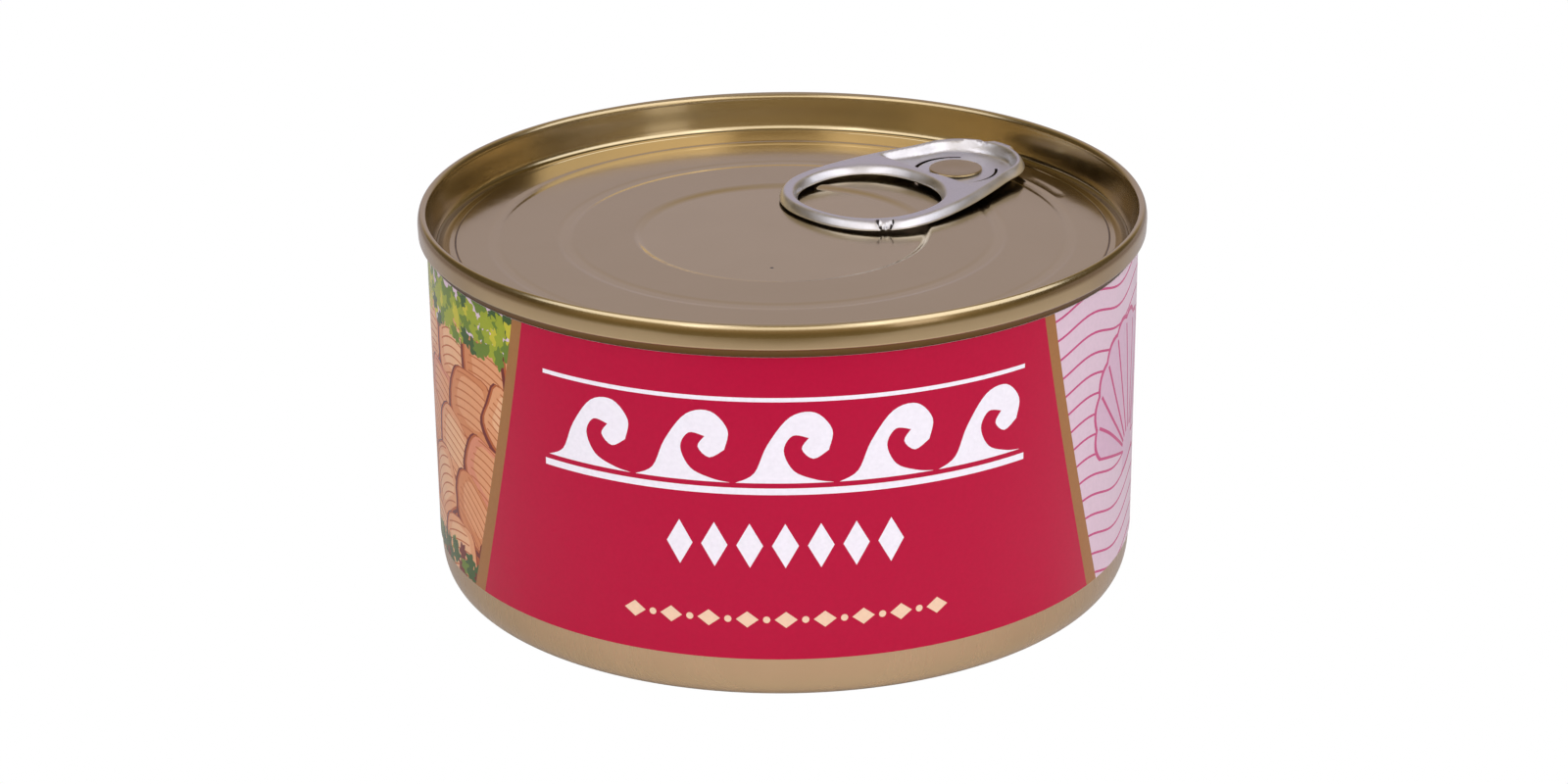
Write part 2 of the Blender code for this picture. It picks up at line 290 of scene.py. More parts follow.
def painted_shade_and_speck(tree, place, colour):
    """Painted shade where the lid's metal lies in shade or mirrors dim light, and a speck of dirt.

    These are the chuck wall, the countersink's groove, the score line, the outside of the double seam and
    the neck under it. Each comes in over a first span of height or radius, within a second one of radius,
    both in metres.
    """
    height = add(tree, "SeparateXYZ", {0: place}).outputs["Z"]
    radius = radius_of(tree, place)
    for value, start, end, limit_start, limit_end, painted_shade in (
        (height, 0.0416, 0.0421, 0.0427, 0.0424, "wall"),
        (height, 0.04145, 0.0413, 0.0403, 0.0408, "groove"),
        (radius, 0.03917, 0.03920, 0.03933, 0.03930, "score"),
        (radius, 0.04342, 0.04358, 0.05, 0.049, "seam"),
        (height, 0.04325, 0.0430, 0.0424, 0.04245, "neck"),
    ):
        tone = linear(PAINTED_SHADE_TONES[painted_shade])
        rising = add(tree, "MapRange", {0: value, 1: start, 2: end}).outputs[0]
        limited = add(tree, "MapRange", {0: radius, 1: limit_start, 2: limit_end}).outputs[0]
        share = add(tree, "Math", {0: rising, 1: limited}, operation="MULTIPLY").outputs[0]
        colour = add(tree, "Mix", {0: share, 6: colour, 7: tone}, data_type="RGBA").outputs[2]
    # One speck of dirt, 0.4 mm across
    away = add(tree, "VectorMath", {0: place, 1: SPECK_PLACE}, operation="DISTANCE").outputs["Value"]
    speck = add(tree, "MapRange", {0: away, 1: 0.00026, 2: 0.0002}).outputs[0]
    return add(tree, "Mix", {0: speck, 6: colour, 7: linear("#1c1512")}, data_type="RGBA").outputs[2]


def stamped_aluminium(name, light, dark, roughness):
    """Aluminium strip, blanked, curled and crimped, left bare.

    Pale satin with a faint speckle from tumbling against the tools. In dark tones it is a copy that paints
    shade in the tab's nicks, slit and underside.
    """
    material, tree, shader, place = new_material(name)
    # Tumbling marks of 0.2 to 0.4 mm
    speckle = add(tree, "TexNoise", {"Vector": place, "Scale": 3200.0, "Detail": 3.0}).outputs["Fac"]
    # Handling haze over about 3 mm
    haze = add(tree, "TexNoise", {"Vector": place, "Scale": 330.0, "Detail": 2.0}).outputs["Fac"]
    colour = add(tree, "Mix", {0: speckle, 6: linear(dark), 7: linear(light)}, data_type="RGBA").outputs[2]
    spread = {0: haze, 1: 0.3, 2: 0.7, 3: roughness * 0.8, 4: roughness * 1.25}
    rough = add(tree, "MapRange", spread).outputs[0]
    bump = add(tree, "Bump", {"Strength": 0.25, "Distance": 0.00002, "Height": speckle}).outputs[0]
    set_shader(tree, shader, Base_Color=colour, Metallic=1.0, Roughness=rough, Normal=bump)
    return material


def gloss_printed_paper(name, ink):
    """Coated paper, offset printed and gloss varnished.

    Flat ink with the least mottle, and a broad soft sheen from the varnish.
    """
    material, tree, shader, place = new_material(name)
    # Ink mottle of about 0.5 mm
    mottle = add(tree, "TexNoise", {"Vector": place, "Scale": 2000.0, "Detail": 2.0}).outputs["Fac"]
    value = add(tree, "MapRange", {0: mottle, 1: 0.3, 2: 0.7, 3: 0.97, 4: 1.03}).outputs[0]
    colour = add(tree, "HueSaturation", {"Value": value, "Color": linear(ink)}).outputs[0]
    # Paper fibre lifts the varnish over about 1.5 mm
    fibre = add(tree, "TexNoise", {"Vector": place, "Scale": 700.0, "Detail": 4.0}).outputs["Fac"]
    bump = add(tree, "Bump", {"Strength": 0.12, "Distance": 0.00002, "Height": fibre}).outputs[0]
    # The varnish is thin and partly soaked in, so it mirrors less than a full gloss coat
    set_shader(
        tree, shader, Base_Color=colour, Roughness=0.22, IOR=1.5, Specular_IOR_Level=0.2, Normal=bump,
    )
    return material


def smooth_step(value):
    """0 to 1 with level ends, for numbers or arrays."""
    value = np.clip(value, 0.0, 1.0)
    return value * value * (3.0 - 2.0 * value)


def ellipse_arc(centre, half, start, end, steps):
    """Points of an ellipse's arc in a half section; angles in degrees from +radius to +height."""
    points = []
    for step in range(steps + 1):
        angle = math.radians(start + (end - start) * step / steps)
        points.append((centre[0] + half[0] * math.cos(angle), centre[1] + half[1] * math.sin(angle)))
    return points


def smooth_curve(points, steps):
    """A smooth curve through the points, with steps pieces from each to the next."""
    ends = [points[0], *points, points[-1]]
    curve = []
    for before, start, end, after in zip(ends, ends[1:], ends[2:], ends[3:]):
        for step in range(steps):
            t = step / steps
            place = []
            for a, b, c, d in zip(before, start, end, after):
                cubic = 2 * a - 5 * b + 4 * c - d + t * (3 * (b - c) + d - a)
                place.append(b + 0.5 * t * (c - a + t * cubic))
            curve.append(tuple(place))
    return curve + [points[-1]]


def link(name, verts, faces, materials, face_materials=None, sharp=40):
    """A smooth-shaded object from points in millimetres, closed and facing out as given."""
    mesh = bpy.data.meshes.new(name)
    mesh.from_pydata([tuple(float(value) * MM for value in vert) for vert in verts], [], faces)
    for material in materials:
        mesh.materials.append(material)
    if face_materials is not None:
        mesh.polygons.foreach_set("material_index", face_materials)
    mesh.shade_smooth()
    mesh.set_sharp_from_angle(angle=math.radians(sharp))
    piece = bpy.data.objects.new(name, mesh)
    bpy.context.scene.collection.objects.link(piece)
    return piece


def turned(name, profile, material, around=AROUND, press=None):
    """Turn a half section, from the axis over the top to the axis below, into a closed solid.

    Press is a function that moves the points, for what isn't the same all round.
    """
    inner = profile[1:-1]
    verts = [(0.0, 0.0, profile[0][1])]
    for radius, height in inner:
        for index in range(around):
            angle = math.tau * index / around
            verts.append((radius * math.cos(angle), radius * math.sin(angle), height))
    verts.append((0.0, 0.0, profile[-1][1]))
    faces = []
    last = len(verts) - 1
    for index in range(around):
        after = (index + 1) % around
        faces.append((0, 1 + index, 1 + after))
        for row in range(len(inner) - 1):
            start = 1 + row * around
            faces.append((start + index, start + around + index, start + around + after, start + after))
        start = 1 + (len(inner) - 1) * around
        faces.append((start + index, last, start + after))
    if press:
        verts = press(np.array(verts))
    return link(name, verts, faces, [material])


def pressed(radius, rings):
    """Depth of shallow round-bottomed channels at a radius."""
    depth = 0.0
    for middle, half_width, deep in rings:
        depth += deep * smooth_step(1.6 * (1.0 - abs(radius - middle) / half_width))
    return depth


def spaced(stops):
    """Radii from stop to stop; each stop is (radius, spacing up to it)."""
    radii = [stops[0][0]]
    for (start, _), (end, spacing) in zip(stops, stops[1:]):
        count = max(1, round((end - start) / spacing))
        radii += [start + (end - start) * step / count for step in range(1, count + 1)]
    return radii


def panel_height(radius):
    """Height of the lid's panel: a recessed middle, two shallow rings and the score line."""
    well = WELL_DEPTH * (1.0 - smooth_step((radius - WELL_RADII[0]) / (WELL_RADII[1] - WELL_RADII[0])))
    score = SCORE_DEPTH * max(0.0, 1.0 - abs(radius - SCORE_RADIUS) / SCORE_HALF_WIDTH)
    return PANEL_HEIGHT - well - pressed(radius, RINGS) - score


def lid_profile():
    """The lid from the middle of its panel, over the seam, to its underside; closest rows at the bends."""
    radii = spaced((
        (0.0, 0), (16.6, 1.6), (18.3, 0.1), (24.8, 1.2), (27.4, 0.2), (33.6, 1.2), (35.8, 0.2), (38.7, 0.6),
        (SCORE_RADIUS - SCORE_HALF_WIDTH, 0.15), (SCORE_RADIUS + SCORE_HALF_WIDTH, 0.07), (39.5, 0.1),
    ))
    panel = [(radius, float(panel_height(radius))) for radius in radii]
    wall = smooth_curve(COUNTERSINK_AND_CHUCK_WALL + ((SEAM_INNER_RADIUS, CAN_HEIGHT - SEAM_INNER_DROP),), 5)
    inner = ellipse_arc(
        (CREST_RADIUS, CAN_HEIGHT - SEAM_INNER_DROP),
        (CREST_RADIUS - SEAM_INNER_RADIUS, SEAM_INNER_DROP), 180, 90, 10,
    )
    outer = ellipse_arc(
        (CREST_RADIUS, CAN_HEIGHT - SEAM_SHOULDER_DROP),
        (SEAM_RADIUS - CREST_RADIUS, SEAM_SHOULDER_DROP), 90, 0, 12,
    )
    hook = ellipse_arc(
        (SEAM_RADIUS - SEAM_HOOK_RADIUS, SEAM_FOOT_HEIGHT + SEAM_HOOK_RADIUS),
        (SEAM_HOOK_RADIUS - SEAM_DRAFT, SEAM_HOOK_RADIUS), 0, -90, 6,
    )
    neck = smooth_curve(SEAM_COVE, 3)
    underside = [(WALL_RADIUS, LID_UNDERSIDE), (0.0, LID_UNDERSIDE)]
    return panel + wall + inner[1:] + outer[1:] + hook + neck + underside


def press_side_beads(verts):
    """Press the two short beads beside the tab's nose into the panel."""
    radius = np.hypot(verts[:, 0], verts[:, 1])
    azimuth = np.degrees(np.arctan2(verts[:, 1], verts[:, 0]))
    on_panel = verts[:, 2] > LID_UNDERSIDE + 0.2
    across = np.abs(radius - SIDE_BEAD_RADIUS) / SIDE_BEAD_HALF_WIDTH
    for start, end in SIDE_BEAD_AZIMUTHS:
        along = np.minimum(azimuth - start, end - azimuth) / SIDE_BEAD_END
        depth = SIDE_BEAD_DEPTH * smooth_step(along) * smooth_step(1.5 * (1.0 - across))
        verts[:, 2] -= np.where(on_panel, depth, 0.0)
    return verts


def make_lid(material):
    """The lid's sheet with its panel, countersink, chuck wall, double seam and neck."""
    lid = turned("lid_sheet", lid_profile(), material, press=press_side_beads)
    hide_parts("lid")
    return lid


def rivet_place():
    """The rivet's axis on the base plane, which is also the tab's origin."""
    azimuth = math.radians(RIVET_AZIMUTH)
    return Vector((RIVET_FROM_MIDDLE * math.cos(azimuth), RIVET_FROM_MIDDLE * math.sin(azimuth), 0.0))


def make_rivet(material):
    """A flat button with a slightly dished middle and a rounded edge, on a short stem."""
    rim = RIVET_RADIUS - RIVET_EDGE
    under = WEB_HEIGHT + 0.03
    dish = RIVET_TOP - RIVET_DISH
    profile = [(0.0, dish), (1.2, dish), (1.7, RIVET_TOP), (rim - 0.3, RIVET_TOP)]
    profile += ellipse_arc((rim, RIVET_TOP - RIVET_EDGE), (RIVET_EDGE, RIVET_EDGE), 90, -60, 7)
    profile += [
        (RIVET_STEM_RADIUS + 0.2, under), (RIVET_STEM_RADIUS, under - 0.1),
        (RIVET_STEM_RADIUS, PANEL_HEIGHT - 0.2), (0.0, PANEL_HEIGHT - 0.2),
    ]
    rivet = turned("lid_rivet", profile, material, around=96)
    rivet.location = rivet_place() * MM
    return rivet


def make_body(material):
    """Drawn body: straight wall, rounded base corner, standing ring and recessed base."""
    profile = [(0.0, BODY_TOP), (WALL_RADIUS - 0.1, BODY_TOP), (WALL_RADIUS, BODY_TOP - 0.1)]
    corner = []
    width = WALL_RADIUS - STAND_RADII[1]
    for step in range(1, 19):
        angle = math.radians(90 * step / 18)
        radius = STAND_RADII[1] + width * math.sin(angle) ** (2 / BASE_CORNER_POWER)
        height = BASE_CORNER_TOP * (1 - math.cos(angle) ** (2 / BASE_CORNER_POWER))
        corner.append((radius, height))
    profile += corner[::-1] + [(STAND_RADII[1], 0.0), (STAND_RADII[0], 0.0)]
    profile += smooth_curve((
        (STAND_RADII[0] - 0.2, 0.03), (STAND_RADII[0] - 0.7, 0.35), (BASE_RECESS_RADIUS + 0.5, 1.1),
        (BASE_RECESS_RADIUS, BASE_RECESS),
    ), 4)
    radii = spaced(((0.0, 0), (14.0, 1.6), (17.0, 0.25), (30.0, 1.3), (33.0, 0.25), (35.8, 0.7)))
    profile += [(radius, float(BASE_RECESS - pressed(radius, BASE_RINGS))) for radius in reversed(radii)]
    body = turned("drawn_body", profile, material)
    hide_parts("can_body")
    return body


# The pull tab's plan

def even(loop, spacing):
    """Resample a closed loop at an even spacing."""
    loop = np.array(loop)
    closed = np.vstack([loop, loop[:1]])
    travel = np.concatenate([[0.0], np.cumsum(np.linalg.norm(np.diff(closed, axis=0), axis=1))])
    count = int(travel[-1] / spacing)
    stops = np.arange(count) * travel[-1] / count
    return np.stack([np.interp(stops, travel, closed[:, axis]) for axis in (0, 1)], axis=1)


def crimp(points):
    """Depth share of the two nicks at each point of the plan; they part towards the ring's inside."""
    heading = math.radians(CRIMP_HEADING)
    offset = points - np.array(CRIMP_PLACE)
    along = offset[:, 0] * math.cos(heading) + offset[:, 1] * math.sin(heading)
    inwards = -offset[:, 0] * math.sin(heading) + offset[:, 1] * math.cos(heading)
    gap = CRIMP_HALF_GAP + CRIMP_SPREAD * np.maximum(inwards, 0.0)
    beside = np.abs(np.abs(along) - gap) / CRIMP_HALF_WIDTH
    return np.clip(1.0 - beside, 0.0, 1.0) * (np.abs(inwards) < 2.0)


def tab_outline():
    """Half-round nose, sides that swell into the ring, and a round ring end; counter-clockwise.

    A running mean along it takes out the kinks where its parts join.
    """
    side = []
    for angle in np.radians(np.linspace(0, 90, 40)):
        ahead = (TAB_NOSE - TAB_SHOULDER[0]) * math.cos(angle)
        side.append((TAB_SHOULDER[0] + ahead, TAB_SHOULDER[1] * math.sin(angle)))
    for share in np.linspace(0, 1, 60)[1:-1]:
        swell = math.sin(math.radians(90 * share))
        side.append((
            TAB_SHOULDER[0] + (TAB_RING[0] - TAB_SHOULDER[0]) * share,
            TAB_SHOULDER[1] + (TAB_RING[1] - TAB_SHOULDER[1]) * swell,
        ))
    for angle in np.radians(np.linspace(0, 90, 60)):
        along = math.sin(angle) ** (2 / TAB_END_POWER)
        across = math.cos(angle) ** (2 / TAB_END_POWER)
        side.append((TAB_RING[0] + (TAB_END - TAB_RING[0]) * along, TAB_RING[1] * across))
    loop = even(side + [(x, -y) for x, y in reversed(side[1:-1])], EDGE_SPACING)
    return np.mean([np.roll(loop, step, axis=0) for step in range(-8, 9)], axis=0)


def edge_details(loop):
    """The outline with the small lip and notch on its nose, and the crimp's two nicks."""
    loop = loop.copy()
    ahead = loop[:, 0] > 0
    lip = smooth_step((NOSE_LIP_HALF_WIDTH - np.abs(loop[:, 1])) / NOSE_LIP_BLEND) * ahead
    from_notch = np.abs(loop[:, 1] - NOSE_LIP_HALF_WIDTH - NOSE_NOTCH)
    notch = np.clip(1.0 - from_notch / NOSE_LIP_BLEND, 0.0, 1.0) * ahead
    loop[:, 0] += NOSE_LIP * lip - NOSE_NOTCH * notch
    return shifted(loop, CRIMP_NOTCH * crimp(loop)[:, None])


def oval(centre_x, half, power, count):
    """A superellipse, counter-clockwise."""
    angle = math.tau * np.arange(count) / count
    x = centre_x + half[0] * np.sign(np.cos(angle)) * np.abs(np.cos(angle)) ** (2 / power)
    y = half[1] * np.sign(np.sin(angle)) * np.abs(np.sin(angle)) ** (2 / power)
    return np.stack([x, y], axis=1)


def slit_outline():
    """The slit that frees the rivet's tongue, open towards the nose where the tongue hinges."""
    angles = np.radians(np.linspace(SLIT_HINGE_HALF_ANGLE, 360 - SLIT_HINGE_HALF_ANGLE, 120))
    rows = []
    for radius, order in ((SLIT_RADIUS + SLIT_WIDTH / 2, 1), (SLIT_RADIUS - SLIT_WIDTH / 2, -1)):
        rows.append(radius * np.stack([np.cos(angles), np.sin(angles)], axis=1)[::order])
    return np.concatenate(rows)


def shifted(loop, distance):
    """A counter-clockwise loop moved inwards, or outwards where distance is negative."""
    along = np.roll(loop, -1, axis=0) - np.roll(loop, 1, axis=0)
    along /= np.linalg.norm(along, axis=1)[:, None]
    return loop + distance * np.stack([-along[:, 1], along[:, 0]], axis=1)


def distance_to(points, loop):
    """Distance from each point to a closed loop."""
    start = loop[None]
    run = (np.roll(loop, -1, axis=0) - loop)[None]
    best = []
    for part in np.array_split(points, max(1, len(points) // 1000)):
        offset = part[:, None] - start
        share = np.clip((offset * run).sum(2) / (run ** 2).sum(2), 0.0, 1.0)
        best.append(np.linalg.norm(offset - share[:, :, None] * run, axis=2).min(axis=1))
    return np.concatenate(best)


def inside(points, loop):
    """Whether each point lies inside a closed loop."""
    x, y = points[:, :1], points[:, 1:]
    x0, y0 = loop[:, 0][None], loop[:, 1][None]
    x1, y1 = np.roll(loop[:, 0], -1)[None], np.roll(loop[:, 1], -1)[None]
    crosses = (y0 > y) != (y1 > y)
    with np.errstate(divide="ignore", invalid="ignore"):
        at = x0 + (y - y0) * (x1 - x0) / (y1 - y0)
    return (np.sum(crosses & (x < at), axis=1) % 2) == 1


def in_sheet(points, loops):
    """Whether each point lies within the first loop and outside the others, which are its openings."""
    outline, *openings = loops
    kept = inside(points, outline)
    for opening in openings:
        kept &= ~inside(points, opening)
    return kept


def edge_round(distance, radius):
    """How far a rounded edge falls below its face at a distance from the edge."""
    gap = np.clip(radius - distance, 0.0, radius)
    return radius - np.sqrt(radius ** 2 - gap ** 2)


def bevel(distance, size):
    """How far a steep bevel falls below its face; it blends into the face over its width."""
    width, drop = size
    return drop * np.clip(1.0 - distance / width, 0.0, 1.0) ** BEVEL_POWER


def rounded_ramp(value):
    """0 to 1 at an even slope with slightly rounded ends."""
    return sum(np.clip(value + offset, 0.0, 1.0) for offset in (-0.12, -0.06, 0.0, 0.06, 0.12)) / 5


def tab_heights(points, loops):
    """Top and bottom heights of the tab over its plan.

    A raised bead follows the plain outline and falls to the web behind it. The edges of the outline and the
    hole are bevelled, and the rivet's tongue sags at its free end.
    """
    outline, hole, slit, stem, plain = loops
    out, to_hole = distance_to(points, outline), distance_to(points, hole)
    to_slit = np.minimum(distance_to(points, slit), distance_to(points, stem))
    along, across = points[:, 0], points[:, 1]
    rise = (along - TAB_END) / (TAB_NOSE - TAB_END)
    top = TAB_TOP_HEIGHTS[0] + (TAB_TOP_HEIGHTS[1] - TAB_TOP_HEIGHTS[0]) * rise
    sunk = smooth_step((along - POCKET_START) / POCKET_RAMP)
    bead = 1.0 - sunk * rounded_ramp((distance_to(points, plain) - BEAD_WIDTH) / BEAD_SLOPE)
    upper = WEB_HEIGHT + (top - WEB_HEIGHT) * bead
    web_under = WEB_HEIGHT - WEB_THICKNESS
    lower = web_under + (top - TAB_THICKNESS - web_under) * bead
    in_tongue = np.hypot(along, across) < SLIT_RADIUS
    sag = np.where(in_tongue, TONGUE_SAG * np.clip(0.6 - along / SLIT_RADIUS, 0.0, 1.6) / 1.6, 0.0)
    slit_edge = edge_round(to_slit, WEB_EDGE_ROUND)
    upper -= bevel(out, TAB_BEVEL) + bevel(to_hole, HOLE_BEVEL) + slit_edge
    lower += edge_round(out, TAB_UNDER_ROUND) + edge_round(to_hole, HOLE_UNDER_ROUND) + slit_edge
    nick = CRIMP_DEPTH * crimp(points) * smooth_step((CRIMP_REACH - out) / 0.25)
    lower -= sag
    return np.maximum(upper - sag - nick, lower + 0.04), lower


def make_tab(material, shade_and_cut_edge):
    """Mesh the tab's plan finely, lift it to its top and bottom faces, and close the edges.

    Its dark copy paints shade in the nicks and on the whole underside, for the dark line of shadow along
    under the tab; on the slit's edges it is painted shade and also the duller sheared metal.
    """
    plain = tab_outline()
    outline = edge_details(plain)
    hole = even(oval(HOLE_X, HOLE_HALF, HOLE_POWER, 400), EDGE_SPACING)
    slit = even(slit_outline(), SLIT_SPACING)
    stem = oval(0.0, (STEM_HOLE_RADIUS, STEM_HOLE_RADIUS), 2.0, 72)
    loops = (outline, hole, slit, stem)
    points = list(loops)
    for share in (0.12, 0.25, 0.4, 0.55, 0.75, 1.0):
        points.append(shifted(outline, TAB_BEVEL[0] * share))
        points.append(shifted(hole, -HOLE_BEVEL[0] * share))
    grid = []
    for row, y in enumerate(np.arange(-12.0, 12.0, PLAN_SPACING * 0.866)):
        for x in np.arange(-26.0, 10.0, PLAN_SPACING):
            grid.append((x + PLAN_SPACING / 2 * (row % 2), y))
    grid = np.array(grid)
    grid = grid[in_sheet(grid, loops)]
    clear = distance_to(grid, outline) > TAB_BEVEL[0] + 0.1
    clear &= distance_to(grid, hole) > HOLE_BEVEL[0] + 0.1
    clear &= (distance_to(grid, slit) > 0.1) & (distance_to(grid, stem) > 0.1)
    points.append(grid[clear])
    edges = []
    start = 0
    for loop in loops:
        count = len(loop)
        edges += [(start + index, start + (index + 1) % count) for index in range(count)]
        start += count
    coordinates = [Vector(point) for point in np.concatenate(points).tolist()]
    found, _, triangles, *_ = delaunay_2d_cdt(coordinates, edges, [], 0, 1e-5, False)
    plan = np.array([tuple(vert) for vert in found])
    triangles = np.array([tuple(triangle) for triangle in triangles])
    middles = plan[triangles].mean(axis=1)
    kept = in_sheet(middles, loops)
    triangles = triangles[kept]
    corners = plan[triangles]
    first, second = corners[:, 1] - corners[:, 0], corners[:, 2] - corners[:, 0]
    flipped = first[:, 0] * second[:, 1] - first[:, 1] * second[:, 0] < 0
    triangles[flipped] = triangles[flipped][:, ::-1]
    upper, lower = tab_heights(plan, (*loops, plain))
    verts, faces = doubled(np.column_stack([plan, upper]), np.column_stack([plan, lower]), triangles)
    rim = np.array(faces[2 * len(triangles):])
    cut = distance_to(verts[rim][:, :, :2].mean(axis=1), slit) < 0.01
    nicked = (crimp(middles[kept]) > 0.45) & (distance_to(middles[kept], outline) < CRIMP_REACH - 0.1)
    # Painted shade: the dark copy on the nicks, on the whole underside and on the slit's cut edges
    face_materials = nicked.astype(int).tolist() + [1] * len(triangles) + cut.astype(int).tolist()
    tab = link("ring_pull_tab", verts, faces, [material, shade_and_cut_edge], face_materials, sharp=55)
    tab.matrix_world = (
        Matrix.Translation(rivet_place() * MM) @ Matrix.Rotation(math.radians(TAB_AZIMUTH), 4, "Z")
    )
    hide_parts("pull_tab")
    return tab


def doubled(front, back, triangles):
    """Close a sheet: its triangles on the front, the same reversed on the back, and its rim between them."""
    used = np.unique(triangles)
    renumber = np.full(len(front), -1)
    renumber[used] = np.arange(len(used))
    triangles = renumber[triangles]
    front, back = front[used], back[used]
    count = len(used)
    directed = np.concatenate([triangles[:, (0, 1)], triangles[:, (1, 2)], triangles[:, (2, 0)]])
    seen = {tuple(edge) for edge in directed.tolist()}
    rim = [(a, b) for a, b in seen if (b, a) not in seen]
    faces = triangles.tolist() + (triangles[:, ::-1] + count).tolist()
    faces += [(b, a, a + count, b + count) for a, b in sorted(rim)]
    return np.concatenate([front, back]), faces


# The label's print, laid out flat: x is the arc from the middle of the front, y is the height

def panel_half_width(height):
    """Half the crimson panel's width; its sides flare towards the base."""
    below = LABEL_TOP - height
    return PANEL_TOP_HALF_WIDTH + PANEL_FLARE[0] * below + PANEL_FLARE[1] * below ** 2


def border_width(height):
    """Width of the gold line down each side of a panel, wider towards the base."""
    top, base = BORDER_WIDTHS
    return top + (base - top) * ((LABEL_TOP - height) / (LABEL_TOP - LABEL_BOTTOM)) ** 2


def panel_shape(middle, extra):
    """A crimson panel's outline, or with extra 1 that of the panel and its gold borders."""
    heights = np.linspace(LABEL_BOTTOM - 0.5, LABEL_TOP + 0.5, 30)
    half = panel_half_width(heights) + extra * border_width(heights)
    right = np.stack([middle + half, heights], axis=1)
    left = np.stack([middle - half, heights], axis=1)[::-1]
    return np.concatenate([right, left])


def ribbon(line, width):
    """A thin closed shape along a line of points."""
    line = np.array(line)
    along = np.gradient(line, axis=0)
    along /= np.linalg.norm(along, axis=1)[:, None]
    across = np.stack([-along[:, 1], along[:, 0]], axis=1) * width / 2
    return np.concatenate([line + across, (line - across)[::-1]])


def box_shape(left, bottom, right, top, radius=0.0):
    """A rectangle, with round corners where a radius is given."""
    if not radius:
        return np.array([(left, bottom), (right, bottom), (right, top), (left, top)])
    points = []
    for x, y, start in (
        (right - radius, bottom + radius, -90), (right - radius, top - radius, 0),
        (left + radius, top - radius, 90), (left + radius, bottom + radius, 180),
    ):
        for angle in np.radians(np.linspace(start, start + 90, 6)):
            points.append((x + radius * math.cos(angle), y + radius * math.sin(angle)))
    return np.array(points)


def placed(shape, x, y, turn=0.0, size=1.0):
    """Turn, size and move a shape."""
    angle = math.radians(turn)
    matrix = np.array([[math.cos(angle), -math.sin(angle)], [math.sin(angle), math.cos(angle)]])
    return np.array(shape) @ matrix.T * size + (x, y)


def diamond(half_width, half_height):
    """An upright diamond."""
    return np.array([(half_width, 0), (0, half_height), (-half_width, 0), (0, -half_height)])


def wave_crest():
    """One crest of a running wave scroll, 11 mm wide and 8.5 mm high, curling to the right."""
    back = smooth_curve((
        (-5.5, 0.0), (-3.4, 1.2), (-1.9, 4.6), (0.6, 7.9), (3.4, 8.4), (5.3, 6.3), (4.9, 3.9),
    ), 5)
    curl = smooth_curve(((4.9, 3.9), (3.2, 2.9), (1.9, 4.1), (2.7, 5.4)), 4)
    under = smooth_curve(((2.7, 5.4), (0.9, 5.7), (-0.1, 3.9), (1.0, 1.5), (3.4, 0.4), (5.5, 0.0)), 5)
    return np.array(back + curl[1:] + under[1:])


def ornament_bands(middle, prints):
    """The bands in white and cream on a crimson panel: running waves, diamonds and small lozenges."""
    for index in range(WAVE_COUNT):
        x = middle + WAVE_PITCH * (index - (WAVE_COUNT - 1) / 2)
        prints.append((placed(wave_crest(), x, WAVE_FOOT), "white"))
    for bottom, top in ((25.6, 26.4), (36.7, 37.2)):
        rule = box_shape(middle - RULE_HALF_LENGTH, bottom, middle + RULE_HALF_LENGTH, top)
        prints.append((rule, "white"))
    for index in range(-3, 4):
        prints.append((placed(diamond(1.5, 2.7), middle + DIAMOND_PITCH * index, DIAMOND_HEIGHT), "white"))
    dot = oval(0.0, (0.42, 0.42), 2.0, 12)
    for index in range(-4, 5):
        x = middle + LOZENGE_PITCH * index
        prints.append((placed(diamond(1.3, 1.0), x, LOZENGE_HEIGHT), "cream"))
        if index < 4:
            prints.append((placed(dot, x + LOZENGE_PITCH / 2, LOZENGE_HEIGHT), "cream"))


def field_ground(middle, top):
    """A field's plain rectangle, from below the label's lower edge up to a height."""
    return box_shape(middle - FIELD_HALF_WIDTH, LABEL_BOTTOM - 1, middle + FIELD_HALF_WIDTH, top)


def flake(rng, width, height):
    """A rounded flake with bowed grain, as (outline, lighter inside, grain lines)."""
    count = 26
    angle = math.tau * np.arange(count) / count
    wobble = 1.0 + 0.06 * np.sin(3 * angle + rng.uniform(0, 6)) + 0.04 * np.sin(5 * angle + rng.uniform(0, 6))
    outline = oval(0.0, (width, height), 2.9, count) * wobble[:, None]
    lines = []
    bow = rng.uniform(0.15, 0.4) * height
    for share in np.linspace(-0.72, 0.72, 7):
        reach = np.linspace(-0.78, 0.74, 9) * width * (1.0 - 0.3 * abs(share))
        lines.append(np.stack([reach, share * height + bow * (1 - (reach / width) ** 2) - bow * 0.6], axis=1))
    return outline, outline * 0.8 + (0.0, 0.08 * height), lines


def frilled_leaf(rng):
    """A small curly leaf about 2.5 mm across, with a lobed edge."""
    angle = math.tau * np.arange(28) / 28
    lobes = rng.choice((5, 6, 7))
    reach = 1.05 * (1.0 + 0.22 * np.sin(lobes * angle) + 0.12 * np.sin(2 * angle + rng.uniform(0, 6)))
    return np.stack([1.25 * reach * np.cos(angle), 0.85 * reach * np.sin(angle)], axis=1)


